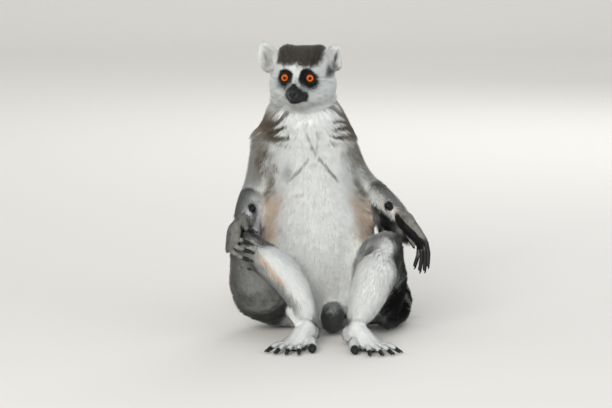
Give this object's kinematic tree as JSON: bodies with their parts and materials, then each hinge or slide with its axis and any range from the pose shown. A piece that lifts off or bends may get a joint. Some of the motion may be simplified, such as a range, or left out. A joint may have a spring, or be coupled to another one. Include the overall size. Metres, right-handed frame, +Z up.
{
  "type": "ring-tailed lemur model",
  "caption": "Life-size ring-tailed lemur sitting upright with its belly to the sun, knees out, feet together, arms on its knees and the ringed tail curled round behind.",
  "frame": {"origin": "on the floor, in the middle of the whole outline, tail included", "axes": "+Z up, -Y the way the animal faces, +X its own left side"},
  "size_m": [0.2408, 0.4666, 0.3429],
  "materials": {
    "coat_white": "soft short fur, off-white",
    "coat_grey": "soft fur, brown-grey",
    "coat_dark": "long soft fur, near black",
    "black_skin": "bare black skin, slightly damp at the nose",
    "eye": "wet and clear, orange iris with a small black pupil"
  },
  "bodies": {
    "root": {"belly": "coat_white", "chest": "coat_white", "crotch": "black_skin", "ear_left": "coat_white", "ear_right": "coat_white", "eye_left": "eye", "eye_right": "eye", "foot_left": "coat_white", "foot_right": "coat_white", "forearm_left": "coat_grey", "forearm_right": "coat_grey", "hand_left": "black_skin", "hand_right": "black_skin", "head": "coat_white", "jaw": "black_skin", "muzzle": "black_skin", "neck": "coat_white", "nose": "black_skin", "shank_left": "coat_white", "shank_right": "coat_white", "tail_1": "coat_white", "tail_2": "coat_dark", "tail_3": "coat_white", "tail_4": "coat_dark", "tail_5": "coat_dark", "thigh_left": "coat_grey", "thigh_right": "coat_grey", "upper_arm_left": "coat_grey", "upper_arm_right": "coat_grey", "wrist_gland_left": "black_skin", "wrist_gland_right": "black_skin"}
  },
  "joints": []
}
